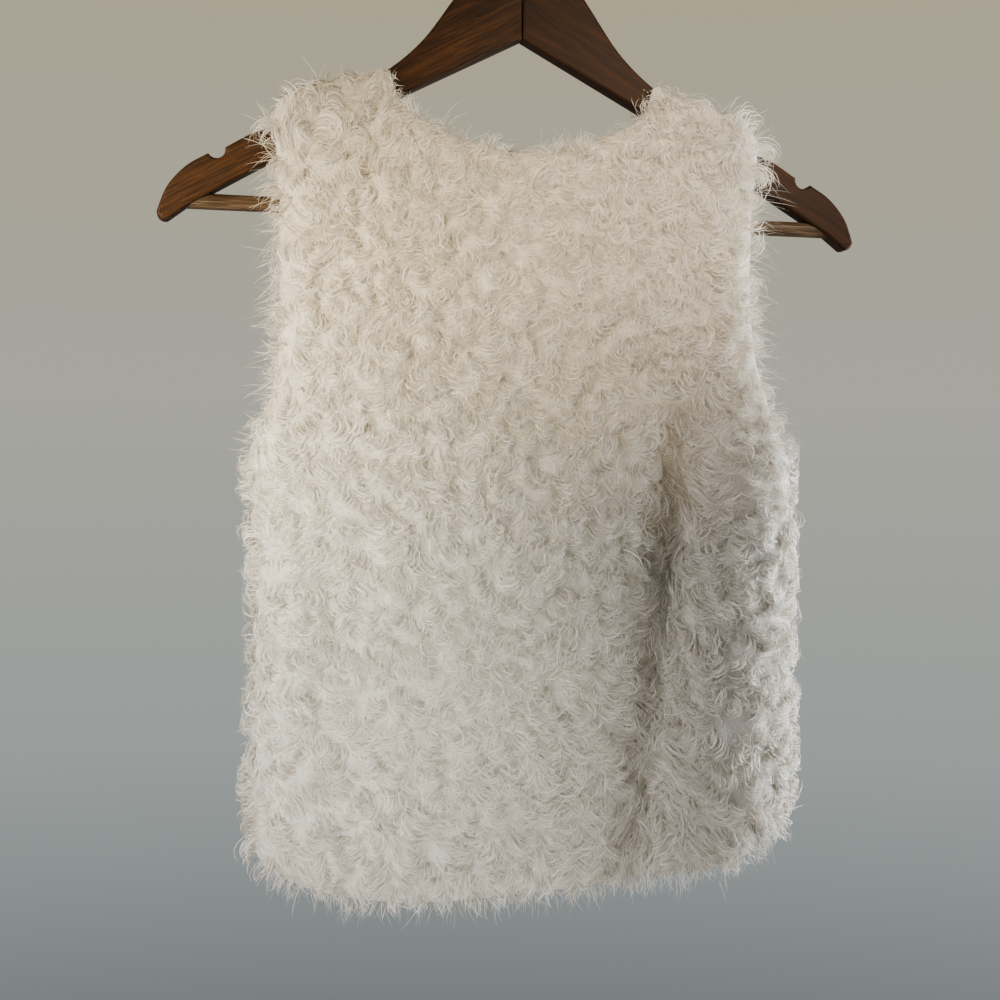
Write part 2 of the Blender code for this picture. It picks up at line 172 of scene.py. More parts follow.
def smooth(t):
    t = np.clip(t, 0.0, 1.0)
    return t * t * (3 - 2 * t)


def along(table, x, column=1):
    """A column of a table at each x, on a smooth curve through the rows."""
    rows = np.array(sorted(table))
    xs, ys = rows[:, 0], rows[:, column]
    x = np.clip(np.asarray(x, float), xs[0], xs[-1])
    k = np.clip(np.searchsorted(xs, x) - 1, 0, len(xs) - 2)
    low = np.maximum(np.arange(len(xs)) - 1, 0)
    high = np.minimum(np.arange(len(xs)) + 1, len(xs) - 1)
    slope = (ys[high] - ys[low]) / (xs[high] - xs[low])
    span = xs[k + 1] - xs[k]
    t = (x - xs[k]) / span
    ease = t * t * (3 - 2 * t)
    bend = slope[k] * t * (1 - t) ** 2 - slope[k + 1] * t * t * (1 - t)
    return ys[k] * (1 - ease) + ys[k + 1] * ease + span * bend


# %% Edges of the cut
def seat_line(x):
    """Height of the cloth's inside where it lies on the hanger's arm."""
    return along(ARM_TOP, np.maximum(np.abs(x), SEAT_END)) + SEAT_GAP


def top_edge(side, x):
    x = np.abs(x)
    neck = along(BACK_NECK if side < 0 else FRONT_NECK, x)
    neck = neck - TRIM * smooth((NECK_TRIM_END - x) / NECK_TRIM_RUN)
    return np.where(x >= NECK_HALF, seat_line(x), neck)


def hem_edge(side, share):
    half = along(SECTIONS, HEM)
    height = HEM + HEM_TILT * share * half + HEM_RISE * np.abs(share) ** HEM_POWER
    if side > 0:
        to_corner = np.maximum(1 - np.abs(share) * half / FRONT_CORNER_REACH, 0.0)
        height = height + FRONT_CORNER * to_corner**2
    return height + TRIM + CORNER_TRIM * np.abs(share) ** 10


def half_width(z):
    between_armholes = along(ARMHOLES, z) - TRIM * smooth((z - UNDERARM) / TRIM_RUN)
    return np.where(z <= UNDERARM, along(SECTIONS, z), between_armholes)


def front_edge(z):
    share = np.clip((z - HEM) / (along(FRONT_NECK, 0.0) - HEM), 0.0, 1.0)
    return FRONT_GAP_HEM + (FRONT_GAP_TOP - FRONT_GAP_HEM) * share


# %% Where the pile stands up, and where it is worn flat
SHOULDER_PRESS = 0.38  # share of its height that the pile loses on the shoulders
SHOULDER_REACH = 60.0
SHOULDER_PUFF = 0.9  # share that it gains at their outer ends
SHOULDER_END_RUN = 45.0
SHOULDER_END_DROP = 26.0
NECK_CORNER = (86.0, -30.0)
NECK_CORNER_REACH = (20.0, 24.0)


def shoulder_end(points):
    """From 0 to 1 towards the outer ends of the shoulders, where the pile stands out freely."""
    x, z = np.abs(points[:, 0]) / MM, points[:, 2] / MM - APEX_Z
    outwards = smooth((x - NECK_HALF) / SHOULDER_END_RUN)
    return outwards * np.exp(-(((seat_line(x) - z) / SHOULDER_END_DROP) ** 2))


def standing(points):
    """The pile's height as a share of its full height: it lies flatter along the shoulders."""
    x, z = points[:, 0] / MM, points[:, 2] / MM - APEX_Z
    pressed = SHOULDER_PRESS * (1 - smooth((seat_line(x) - z) / SHOULDER_REACH))
    return 1 - pressed + SHOULDER_PUFF * shoulder_end(points)


def neck_corner(points):
    """From 0 to 1 towards the corners of the neck, where the pile is worn flat on the wood."""
    x, z = np.abs(points[:, 0]) / MM, points[:, 2] / MM - APEX_Z
    across = (x - NECK_CORNER[0]) / NECK_CORNER_REACH[0]
    below = (z - NECK_CORNER[1]) / NECK_CORNER_REACH[1]
    return np.exp(-(across**2) - below**2)


# %% Depth of the cloth, with its folds
def fold_depth(side, x, z):
    total = np.zeros(np.shape(x))
    for face, x_top, z_top, x_low, z_low, half, depth in FOLDS:
        if face != side:
            continue
        down = np.clip((z_top - z) / (z_top - z_low), 0.0, 1.0)
        away = (x - x_top - (x_low - x_top) * down) / half
        total += depth * np.exp(-away * away / 2) * smooth((z_top - z) / FOLD_FADE)
    return total


def cloth_depth(side, x, z):
    below = seat_line(x) - z
    wrap = (1 - (1 - np.clip(below / WRAP_DEPTH, 0.0, 1.0)) ** WRAP_POWER) ** (1 / WRAP_POWER)
    body = along(SECTIONS, z, 2 if side < 0 else 3)
    hang = ARM_CLEARANCE + (body - ARM_CLEARANCE) * smooth((below - HANG_START) / HANG_RUN)
    share = np.minimum(np.abs(x) / along(SECTIONS, z), 1.0)
    ring = (1 - share**RING_POWER) ** (1 / RING_POWER)
    side_fade = smooth((half_width(z) - np.abs(x)) / FOLD_SIDE_FADE)
    return SEAM_GAP / 2 + wrap * hang * ring - fold_depth(side, x, z) * side_fade


# %% One panel
class Panel:
    """A cut piece of cloth. side is -1 for the back; hand is -1 or 1 for a left or right front."""

    def __init__(self, side, hand=0):
        self.side = side
        self.hand = hand
        self.first = 0.0 if hand else -1.0

    def points(self, share, up):
        """Points of the cloth's inside, in metres."""
        share, up = np.broadcast_arrays(np.asarray(share, float), np.asarray(up, float))
        hand = self.hand
        if hand:
            top_x = hand * (FRONT_GAP_TOP + share * (SHOULDER_HALF - FRONT_GAP_TOP))
        else:
            top_x = share * SHOULDER_HALF
        low = hem_edge(self.side, share)
        z = low + (top_edge(self.side, top_x) - low) * up
        half = half_width(z)
        if hand:
            gap = front_edge(z)
            x = hand * (gap + share * (half - gap))
        else:
            x = share * half
        y = self.side * cloth_depth(self.side, x, z)
        return np.stack([x + along(SECTIONS, z, 4), y, z + APEX_Z], axis=-1) * MM

    def frames(self, share, up):
        """Points with the outward normal and the downward direction in the cloth at each."""
        step = 0.004
        across = self.points(np.minimum(share + step, 1.0), up)
        across = across - self.points(np.maximum(share - step, self.first), up)
        rise = self.points(share, np.minimum(up + step, 1.0))
        rise = rise - self.points(share, np.maximum(up - step, 0.0))
        normal = unit(np.cross(across, rise))
        # It points away from the wearer, and upwards where the cloth lies level on an arm.
        normal *= np.sign(normal[..., 1:2] * self.side + 1e-6 * normal[..., 2:3])
        down = unit(np.array([0.0, 0.0, -1.0]) + normal * normal[..., 2:3])
        return self.points(share, up), normal, down

    def free_edges(self):
        """Points along the edges that aren't sewn to another panel."""
        share, up = np.linspace(self.first, 1.0, 200), np.linspace(0.0, 1.0, 260)
        neck = self.points(share, 1.0)
        middle = np.abs(neck[:, 0]) < NECK_HALF * MM
        edges = [self.points(share, 0.0), neck[middle]]
        for end in (self.first, 1.0):
            line = self.points(end, up)
            centre_front = end == 0.0
            armhole = line[:, 2] > (UNDERARM + APEX_Z) * MM
            edges.append(line if centre_front else line[armhole])
        return np.concatenate(edges)


def unit(v):
    return v / np.maximum(np.linalg.norm(v, axis=-1, keepdims=True), 1e-12)


PANELS = {"back": Panel(-1), "front_left": Panel(1, -1), "front_right": Panel(1, 1)}
print("back of the vest", np.round(PANELS["back"].points(0.0, np.array([0.0, 1.0])), 3).tolist())

# %% [markdown]
# ## Colour and node helpers
#
# Blender's shaders count in linear light, and colours are picked in sRGB, so one function
# turns a hex value to linear. A second one adds any node with its settings, values and links.

# %% Helpers
def rgb(hex_value):
    """A Blender colour from an sRGB hex value such as "F2EBE2"."""
    values = [int(hex_value[i : i + 2], 16) / 255 for i in (0, 2, 4)]
    return [v / 12.92 if v <= 0.04045 else ((v + 0.055) / 1.055) ** 2.4 for v in values] + [1.0]


def add(tree, kind, settings=None, values=None, links=None, stops=()):
    """Adds a node. values sets its inputs, links joins them to outputs, stops colour a ramp."""
    node = tree.nodes.new(kind)
    for key, value in (settings or {}).items():
        setattr(node, key, value)
    for key, value in (values or {}).items():
        node.inputs[key].default_value = value
    for key, source in (links or {}).items():
        tree.links.new(source, node.inputs[key])
    if stops:
        elements = node.color_ramp.elements
        while len(elements) < len(stops):
            elements.new(0.5)
        for element, (position, colour) in zip(elements, stops):
            element.position = position
            element.color = rgb(colour)
    return node


def new_material(name, sockets):
    """A material, its nodes and its shader, with constants on the shader's own sockets."""
    material = bpy.data.materials.new(name)
    material.use_nodes = True
    shader = material.node_tree.nodes["Principled BSDF"]
    for key, value in sockets.items():
        shader.inputs[key].default_value = value
    return material, material.node_tree, shader


# %% [markdown]
# ## Acrylic pile
#
# The fur is acrylic: smooth, slightly translucent fibres that are spun, then curled by heat.
# Each fibre is nearly white and lets some light through, so the pile glows where it is thin
# and turns a warm grey deep between the tufts, partly from shade painted into its colour. Every
# strand carries a UV map that says how far along it a point is. From it the colour is painted
# darker at the root, as painted shade for the depth of the pile, and is bright at the tip, all
# without a texture.

# %% Acrylic pile
STRAND_UV = "strand"


def acrylic_pile():
    material, tree, shader = new_material(
        "acrylic_pile",
        {"Roughness": 0.38, "IOR": 1.49, "Sheen Weight": 0.25, "Sheen Roughness": 0.4},
    )
    uv = add(tree, "ShaderNodeUVMap", {"uv_map": STRAND_UV})
    parts = add(tree, "ShaderNodeSeparateXYZ", links={"Vector": uv.outputs["UV"]})
    # Painted shade: the strands' colour is darker at the root, deep in the pile, and bright at the
    # tip.
    painted_shade_root_to_tip = add(
        tree,
        "ShaderNodeValToRGB",
        links={"Fac": parts.outputs["Y"]},
        stops=((0.0, "C4BDB0"), (0.4, "EBE7DC"), (1.0, "FDFBF4")),
    )
    strand_tone = add(
        tree,
        "ShaderNodeValToRGB",
        links={"Fac": parts.outputs["X"]},
        stops=((0.0, "D3CDC1"), (1.0, "FFFFFF")),
    )
    mixed = add(
        tree,
        "ShaderNodeMix",
        {"data_type": "RGBA", "blend_type": "MULTIPLY"},
        {"Factor": 1.0},
        {"A": painted_shade_root_to_tip.outputs["Color"], "B": strand_tone.outputs["Color"]},
    )
    colour = mixed.outputs["Result"]
    tree.links.new(colour, shader.inputs["Base Color"])
    glow = add(tree, "ShaderNodeBsdfTranslucent", links={"Color": colour})
    both = add(
        tree,
        "ShaderNodeMixShader",
        values={"Fac": 0.4},
        links={1: shader.outputs["BSDF"], 2: glow.outputs["BSDF"]},
    )
    tree.links.new(both.outputs["Shader"], tree.nodes["Material Output"].inputs["Surface"])
    return material


PILE = acrylic_pile()
print("material", PILE.name)

# %% [markdown]
# ## Knitted ground
#
# Faux fur is a knitted cloth with the pile held in its loops. Inside the vest that ground shows:
# fine wales of stitches 1.6 mm apart, in a matt yarn. Two waves crossed at right angles stand
# for wales and courses, and give both the bump and the darker joints between stitches.

# %% Knitted ground
STITCH = 1.6 * MM


def knitted_ground():
    material, tree, shader = new_material(
        "knitted_ground", {"Roughness": 0.85, "Sheen Weight": 0.15}
    )
    place = add(tree, "ShaderNodeTexCoord")
    waves = []
    for direction in ("X", "Z"):
        # At a scale of 1 a wave texture repeats every tau / 20.
        wave = add(
            tree,
            "ShaderNodeTexWave",
            {"bands_direction": direction, "wave_profile": "SIN"},
            {"Scale": math.tau / 20 / STITCH, "Distortion": 1.5, "Detail": 1.0},
            {"Vector": place.outputs["Object"]},
        )
        waves.append(wave.outputs["Fac"])
    stitch = add(
        tree,
        "ShaderNodeMath",
        {"operation": "MULTIPLY"},
        links={0: waves[0], 1: waves[1]},
    )
    yarn = add(
        tree,
        "ShaderNodeValToRGB",
        links={"Fac": stitch.outputs[0]},
        stops=((0.0, "AFA191"), (0.6, "D8CCBE"), (1.0, "E2D8CC")),
    )
    bump = add(
        tree,
        "ShaderNodeBump",
        values={"Strength": 0.5, "Distance": 0.3 * MM},
        links={"Height": stitch.outputs[0]},
    )
    tree.links.new(yarn.outputs["Color"], shader.inputs["Base Color"])
    tree.links.new(bump.outputs["Normal"], shader.inputs["Normal"])
    return material


GROUND = knitted_ground()
print("material", GROUND.name)

# %% [markdown]
# ## Underfur material
#
# Under the curls the same fibre is packed too close to see one by one. It is matt, and its colour
# is painted darker than the tips: painted shade, so the gaps between tufts read as shade. A noise
# of 1.2 by 3.0 mm, longer downwards, stands for the fibres that lie on it.

# %% Underfur
FIBRE_CLUMP = (1.2 * MM, 1.2 * MM, 3.0 * MM)


def underfur():
    material, tree, shader = new_material(
        "underfur_painted_shade",
        {"Roughness": 0.75, "IOR": 1.49, "Sheen Weight": 0.3, "Sheen Roughness": 0.5},
    )
    place = add(tree, "ShaderNodeTexCoord")
    lying = add(
        tree,
        "ShaderNodeMapping",
        values={"Scale": [1 / size for size in FIBRE_CLUMP]},
        links={"Vector": place.outputs["Object"]},
    )
    fibres = add(
        tree,
        "ShaderNodeTexNoise",
        values={"Scale": 1.0, "Detail": 3.0, "Roughness": 0.6, "Distortion": 1.4},
        links={"Vector": lying.outputs["Vector"]},
    )
    # Painted shade: these colours are darker than the fibre's own, for the shade under the curls.
    shade = add(
        tree,
        "ShaderNodeValToRGB",
        links={"Fac": fibres.outputs["Fac"]},
        stops=((0.3, "A59E90"), (0.6, "C9C3B6"), (0.8, "DBD6CB")),
    )
    bump = add(
        tree,
        "ShaderNodeBump",
        values={"Strength": 0.6, "Distance": 0.8 * MM},
        links={"Height": fibres.outputs["Fac"]},
    )
    tree.links.new(shade.outputs["Color"], shader.inputs["Base Color"])
    tree.links.new(bump.outputs["Normal"], shader.inputs["Normal"])
    return material


UNDERFUR_SHADED = underfur()
print("material", UNDERFUR_SHADED.name)

# %% [markdown]
# ## Where tufts grow
#
# Real curly pile isn't a field of single hairs. Neighbouring fibres lean together into tufts
# about 10 mm apart, and each tuft bends over and curls like a comma. So the tufts come first:
# their places, the way each leans and how far it curls. The soft mass of the pile and the
# strands on it are then both made from the same tufts, and agree with each other.

# %% Even places on a curved cloth
TUFT_SPACING = 10.5 * MM
ROW_PITCH = 0.87  # rows lie closer together than the tufts in a row
SCATTER = 0.32  # share of the spacing by which a tuft is off its place, along its row
ROW_SCATTER = 0.36


def tuft_places(panel, spacing, rng):
    """Shares and ups of staggered places, evenly spaced as measured along the cloth."""
    shares, ups = [], []
    middle = panel.points(0.5 + panel.first / 2, np.linspace(0, 1, 200))
    height = np.linalg.norm(np.diff(middle, axis=0), axis=1).sum()
    rows = int(height / (spacing * ROW_PITCH))
    fine = np.linspace(panel.first, 1.0, 400)
    for row in range(rows):
        up = (row + 0.5) / rows
        line = panel.points(fine, up)
        run = np.concatenate([[0.0], np.cumsum(np.linalg.norm(np.diff(line, axis=0), axis=1))])
        count = max(int(run[-1] / spacing), 2)
        at = np.arange(count) + 0.25 + 0.5 * (row % 2) + rng.uniform(-SCATTER, SCATTER, count)
        shares.append(np.interp(np.clip(at / count, 0.0, 1.0) * run[-1], run, fine))
        ups.append(np.clip(up + rng.uniform(-ROW_SCATTER, ROW_SCATTER, count) / rows, 0.0, 1.0))
    return np.concatenate(shares), np.concatenate(ups)


def nearest(points, edges):
    """The distance to the nearest edge point, and the direction to it, for each point."""
    best = np.full(len(points), np.inf)
    way = np.zeros_like(points)
    for i in range(0, len(points), 500):
        gap = edges[None, :, :] - points[i : i + 500, None, :]
        length = np.linalg.norm(gap, axis=-1)
        k = length.argmin(axis=1)
        rows = np.arange(len(k))
        best[i : i + 500] = length[rows, k]
        way[i : i + 500] = gap[rows, k]
    return best, unit(way)


# %% Tufts, each with its lean and curl
TUFT_LENGTH = (12.5, 17.5)
TUFT_RISE = (7.8, 10.0)
TUFT_CURL = (2.0, 3.9)  # radians from root to tip
TUFT_SWING = 1.25  # spread of the lean about straight down, in radians
TUFT_EDGE = 13.0  # this near to a free edge, tufts lie out over it
SHOULDER_LIFT = 1.5  # at the ends of the shoulders they turn up instead of down
SHOULDER_LENGTH = 0.7
COMBED_BELOW, COMBED_RUN = -300.0, 200.0
VALLEY_SHIFT, VALLEY_HALF = 8.0, 26.0
VALLEY_ABOVE, VALLEY_RUN = 40.0, 120.0


def combed(panel, points):
    """From 0 to 1, how long and straight the pile hangs: in the deep fold and near the hem."""
    x, z = points[:, 0] / MM, points[:, 2] / MM - APEX_Z
    low = 0.3 * smooth((COMBED_BELOW - z) / COMBED_RUN)
    if panel.side > 0:
        return low
    x_top, z_top, x_low, z_low = VALLEY
    down = np.clip((z_top - z) / (z_top - z_low), 0.0, 1.0)
    away = (x - VALLEY_SHIFT - x_top - (x_low - x_top) * down) / VALLEY_HALF
    valley = np.exp(-away * away) * smooth((z_top + VALLEY_ABOVE - z) / VALLEY_RUN)
    return np.clip(low + 0.9 * valley, 0.0, 1.0)


class Tufts:
    """The tufts of a panel as arrays: where each stands, its lean, curl, length and height."""

    def __init__(self, panel, seed):
        rng = np.random.default_rng(seed)
        share, self.up = tuft_places(panel, TUFT_SPACING, rng)
        root, self.normal, down = panel.frames(share, self.up)
        self.root = root
        side = unit(np.cross(self.normal, down))
        count = len(root)
        edge, to_edge = nearest(root, panel.free_edges())
        self.near = np.clip(1 - edge / (TUFT_EDGE * MM), 0.0, 1.0)
        hem = smooth(1 - self.up * 9)
        corner, shoulder = neck_corner(root), shoulder_end(root)
        self.straight = combed(panel, root)
        swing = rng.normal(0.0, TUFT_SWING, count)
        swing *= (1 - 0.7 * self.straight) * (1 - 0.6 * hem)
        lean = down * (np.cos(swing) - SHOULDER_LIFT * shoulder)[:, None]
        lean = lean + side * np.sin(swing)[:, None]
        lean = lean + (self.near * (1.3 - 2.0 * corner))[:, None] * to_edge
        self.lean = unit(lean - self.normal * (lean * self.normal).sum(-1, keepdims=True))
        self.curl = rng.choice([-1.0, 1.0], count) * rng.uniform(*TUFT_CURL, count)
        self.curl *= (1 - 0.72 * self.straight) * (1 - 0.6 * self.near) * (1 - 0.7 * hem)
        self.length = rng.uniform(*TUFT_LENGTH, count) * (1 + 0.5 * self.straight) * MM
        self.length *= (1 - 0.38 * self.near) * (1 - 0.35 * corner) * (1 - 0.3 * hem)
        self.length *= 1 + SHOULDER_LENGTH * shoulder
        self.rise = rng.uniform(*TUFT_RISE, count) * (1 - 0.5 * self.near) * MM
        self.rise *= standing(root) * (1 - 0.6 * corner)

    def path(self, t, pick=slice(None), curl=None):
        """The line that a tuft's middle follows over the cloth, and the way across it."""
        curl = self.curl[pick] if curl is None else curl
        ahead = self.lean[pick][:, None, :]
        across = np.cross(self.normal[pick], self.lean[pick])[:, None, :]
        turned = (curl[:, None] * t[None, :] ** 1.35)[..., None]
        heading = ahead * np.cos(turned) + across * np.sin(turned)
        sideways = across * np.cos(turned) - ahead * np.sin(turned)
        pace = np.gradient(t) * np.clip(0.35 + 1.6 * t, 0.0, 1.0)
        steps = heading * pace[None, :, None]
        line = np.cumsum(steps, axis=1) - steps[:, :1]
        return line * self.length[pick][:, None, None], sideways


tufts = {label: Tufts(panel, 21 + i) for i, (label, panel) in enumerate(PANELS.items())}
print({label: len(t.root) for label, t in tufts.items()}, "tufts")

# %% [markdown]
# ## Underfur
#
# Deep in curly pile the fibres are too many to tell apart: they are a soft lumpy mass, with a
# dome for each tuft and a narrow crevice between tufts. That mass is modelled as the outside of
# the cloth's wall. Each panel is a grid of points on its surface, made a closed wall by
# Solidify, and then the outer points are lifted to the height of the domes.

# %% Height of the underfur
CLOTH = 1.4 * MM
PILE_BASE = 6.6
PILE_DOME = 3.3
PILE_ROUGH = 0.35
EDGE_PILE = 1.6
PILE_ROUND = 16.0  # within this the pile thins out to a round free edge
DOME_WIDTH = 3.8 * MM


def dome_height(points, tufts):
    """From 0 in a crevice to 1 on a dome, for each point."""
    line = tufts.path(np.linspace(0.0, 1.0, 9))[0]
    open_sky = np.zeros(len(points))
    # A tuft is two soft bumps, a wide one along its lower half and a smaller one near its tip.
    for k, width in ((3, DOME_WIDTH), (7, DOME_WIDTH * 0.72)):
        centres = tufts.root + line[:, k]
        reach = (width * (1 + 0.25 * tufts.straight)) ** 2 * 2
        for i in range(0, len(points), 2000):
            near = points[i : i + 2000]
            gap = (near**2).sum(1)[:, None] + (centres**2).sum(1)[None, :] - 2 * near @ centres.T
            open_sky[i : i + 2000] += np.log1p(-0.93 * np.exp(-np.maximum(gap, 0) / reach)).sum(1)
    return 1 - np.exp(open_sky)


# %% The wall of a panel
def fleece_wall(name, panel, tufts, columns, rows, seed):
    rng = np.random.default_rng(seed)
    share = np.tile(np.linspace(panel.first, 1.0, columns), rows)
    # The rows lie closer together near the top, where the cloth turns over the arms.
    up = np.repeat(1 - (1 - np.linspace(0.0, 1.0, rows)) ** 1.25, columns)
    inside, normal, down = panel.frames(share, up)
    z = inside[:, 2] / MM - APEX_Z
    sewn = (np.abs(share) == 1.0) & (z <= UNDERARM)
    sewn |= (up == 1.0) & (np.abs(inside[:, 0]) >= (NECK_HALF - 1) * MM)
    # Along a seam both walls end at its plane, 0.3 mm apart.
    normal[sewn, 1] = 0.0
    normal = unit(normal)
    edge = nearest(inside, panel.free_edges())[0] / MM
    rounding = np.sqrt(1 - (1 - np.minimum(edge / PILE_ROUND, 1.0)) ** 2)
    height = PILE_BASE + PILE_DOME * dome_height(inside, tufts)
    height += rng.uniform(-PILE_ROUGH, PILE_ROUGH, len(z))
    height *= standing(inside) * (1 - 0.6 * neck_corner(inside))
    height = EDGE_PILE + (height - EDGE_PILE) * rounding
    outside = inside + normal * height[:, None] * MM
    a = (np.arange(rows - 1)[:, None] * columns + np.arange(columns - 1)[None, :]).reshape(-1)
    faces = np.stack([a, a + 1, a + columns + 1, a + columns], axis=1)
    if panel.side * (panel.hand or 1) > 0:
        faces = faces[:, ::-1]
    mesh = bpy.data.meshes.new(name)
    mesh.from_pydata(inside.tolist(), [], faces.tolist())
    mesh.materials.append(UNDERFUR_SHADED)
    mesh.materials.append(GROUND)
    piece = bpy.data.objects.new(name, mesh)
    bpy.context.scene.collection.objects.link(piece)
    wall = piece.modifiers.new("wall", "SOLIDIFY")
    wall.thickness = CLOTH
    wall.offset = 1.0
    wall.material_offset = 1
    bpy.context.view_layer.update()
    graph = bpy.context.evaluated_depsgraph_get()
    solid = bpy.data.meshes.new_from_object(piece.evaluated_get(graph))
    piece.modifiers.clear()
    piece.data = solid
    # Solidify leaves the outer points first, in the order of the grid.
    places = np.empty(len(solid.vertices) * 3)
    solid.vertices.foreach_get("co", places)
    places[: outside.size] = outside.reshape(-1)
    solid.vertices.foreach_set("co", places)
    solid.shade_smooth()
    solid.update()
    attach(piece, "root")
    grid = inside.reshape(rows, columns, 3)
    cells = np.cross(grid[1:, :-1] - grid[:-1, :-1], grid[:-1, 1:] - grid[:-1, :-1])
    return piece, float(np.linalg.norm(cells, axis=-1).sum())


walls, areas = {}, {}
for label, node, columns, seed in (
    ("back", "back_panel", 118, 41),
    ("front_left", "front_left", 60, 42),
    ("front_right", "front_right", 60, 43),
):
    wall, area = fleece_wall(f"{label}_cloth", PANELS[label], tufts[label], columns, 150, seed)
    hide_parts(node)
    walls[label], areas[label] = wall, area
    print(wall.name, f"{area:.4f} square metres,", len(wall.data.polygons) * 2, "triangles")

# %% [markdown]
# ## Strands
#
# Blender's hair curves would draw single fibres, but they aren't a mesh and can't be exported,
# so a strand here is a narrow ribbon: pairs of points, and one point at the tip. The strands
# of a tuft run side by side along its curl, as combed hair does, and close up towards the tip.
# All of them are worked out at once as arrays, which takes seconds where a loop in Python would
# take minutes.

# %% Ribbons from paths
def strand_mesh(name, paths, widths, facing, rng):
    """Ribbons from paths of shape (strands, points, 3), tapering to a point."""
    strands, count = paths.shape[:2]
    tangent = np.gradient(paths, axis=1)
    across = unit(np.cross(tangent, facing))
    taper = 1 - 0.7 * np.linspace(0, 1, count) ** 2.2
    half = across * (widths[:, None] * taper[None, :] / 2)[..., None]
    size = 2 * count - 1
    verts = np.empty((strands, size, 3))
    verts[:, 0:-1:2] = (paths - half)[:, :-1]
    verts[:, 1:-1:2] = (paths + half)[:, :-1]
    verts[:, -1] = paths[:, -1]
    quads = np.array([[2 * k, 2 * k + 1, 2 * k + 3, 2 * k + 2] for k in range(count - 2)])
    tip = np.array([size - 3, size - 2, size - 1])
    base = (np.arange(strands) * size)[:, None]
    corners = np.concatenate([base + quads.reshape(1, -1), base + tip[None, :]], axis=1)
    sizes = np.tile([4] * len(quads) + [3], strands)
    mesh = bpy.data.meshes.new(name)
    mesh.vertices.add(strands * size)
    mesh.vertices.foreach_set("co", verts.reshape(-1))
    mesh.loops.add(corners.size)
    mesh.loops.foreach_set("vertex_index", corners.reshape(-1))
    mesh.polygons.add(len(sizes))
    mesh.polygons.foreach_set("loop_start", np.concatenate([[0], np.cumsum(sizes)[:-1]]))
    mesh.update(calc_edges=True)
    place = np.empty((strands, size, 2))
    place[:, :, 0] = rng.uniform(0.02, 0.98, strands)[:, None]
    place[:, 0:-1:2, 1] = place[:, 1:-1:2, 1] = np.linspace(0, 1, count)[None, :-1]
    place[:, -1, 1] = 1.0
    layer = mesh.uv_layers.new(name=STRAND_UV)
    layer.uv.foreach_set("vector", place.reshape(-1, 2)[corners.reshape(-1)].reshape(-1))
    mesh.materials.append(PILE)
    mesh.shade_smooth()
    piece = bpy.data.objects.new(name, mesh)
    bpy.context.scene.collection.objects.link(piece)
    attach(piece, "root")
    print(name, strands, "strands", strands * (2 * count - 3), "triangles")
    return piece


# %% The strands of the tufts
STRAND_POINTS = 6
STRAND_WIDTH = (0.35, 0.8)
STRAND_FOOT = 0.62  # share of the underfur's height at which strands come out of it
STRAND_ARCH = 1.12
TUFT_RADIUS = 5.6 * MM
ASTRAY = 0.9  # away from the edges, some strands lie this much further out of their tuft
ASTRAY_SHARE = 0.3
WOOD_HALF = 6.5


def clear_of_wood(paths):
    """False for a strand that would run through an arm of the hanger."""
    x, z = np.abs(paths[..., 0]) / MM, paths[..., 2] / MM - APEX_Z
    level = (z > along(ARM_LOW, x)) & (z < along(ARM_TOP, x))
    return ~(level & (np.abs(paths[..., 1]) < WOOD_HALF * MM)).any(axis=1)


def tuft_strands(label, tufts, per_tuft, bands, seed):
    """Strands over a panel, as one mesh for each band of its height."""
    rng = np.random.default_rng(seed)
    pick = np.repeat(np.arange(len(tufts.root)), per_tuft)
    strands = len(pick)
    near, normal = tufts.near[pick], tufts.normal[pick]
    t = np.linspace(0, 1, STRAND_POINTS)
    curl = tufts.curl[pick] * rng.uniform(0.75, 1.25, strands) + rng.normal(0, 0.3, strands)
    line, sideways = tufts.path(t, pick, curl)
    # The strand's place in its tuft, to the side and to the rear, and its share of full length.
    astray = 1 + ASTRAY * (rng.uniform(0, 1, strands) < ASTRAY_SHARE) * (1 - near)
    beside = rng.uniform(-1, 1, strands) * rng.uniform(0.5, 1.15, strands) * astray
    behind = rng.uniform(-1.2, 0.9, strands) * astray
    grown = rng.uniform(0.65, 1.15, strands)
    close = 1 - 0.35 * smooth(t)
    paths = tufts.root[pick][:, None, :] + line * grown[:, None, None]
    paths = paths + sideways * (beside[:, None] * close[None, :] * TUFT_RADIUS)[..., None]
    lag = behind[:, None] * (1 - 0.25 * t[None, :]) * TUFT_RADIUS
    paths = paths + tufts.lean[pick][:, None, :] * lag[..., None]
    # It leaves the underfur, arches over and comes down a little at the tip.
    arch = np.sin(np.clip(t * 1.35, 0, 1) * math.pi / 2) - 0.55 * np.clip(t - 0.5, 0, 1) ** 1.3
    crown = tufts.rise[pick] * (1 - 0.32 * (beside / astray) ** 2)
    crown *= rng.uniform(0.82, 1.15, strands) * STRAND_ARCH
    foot = PILE_BASE * STRAND_FOOT * MM * standing(tufts.root[pick])
    height = foot[:, None] + crown[:, None] * arch[None, :]
    paths = paths + normal[:, None, :] * height[..., None]
    # A little disorder, most of all at the free edges.
    stray = (0.5 + 2.3 * near)[:, None, None] * MM
    paths = paths + rng.normal(0, 1, (strands, 1, 3)) * stray * t[None, :, None] ** 1.5
    paths = paths + rng.normal(0, 0.13 * MM, paths.shape)

    widths = rng.uniform(*STRAND_WIDTH, strands) * (1 - 0.5 * near) * MM
    facing = unit(normal + rng.normal(0, 0.38, (strands, 3)))[:, None, :]
    band = np.minimum((tufts.up[pick] * bands).astype(int), bands - 1)
    clear = clear_of_wood(paths)
    print(label, strands - clear.sum(), "strands would run through wood and are left out")
    made = []
    for k in range(bands):
        chosen = (band == k) & clear
        name = f"{label}_fur" if bands == 1 else f"{label}_fur_{k + 1}"
        made.append(strand_mesh(name, paths[chosen], widths[chosen], facing[chosen], rng))
    return made


furs = {
    "back": tuft_strands("back", tufts["back"], 31, 3, 51),
    "front_left": tuft_strands("front_left", tufts["front_left"], 14, 1, 52),
    "front_right": tuft_strands("front_right", tufts["front_right"], 14, 1, 53),
}

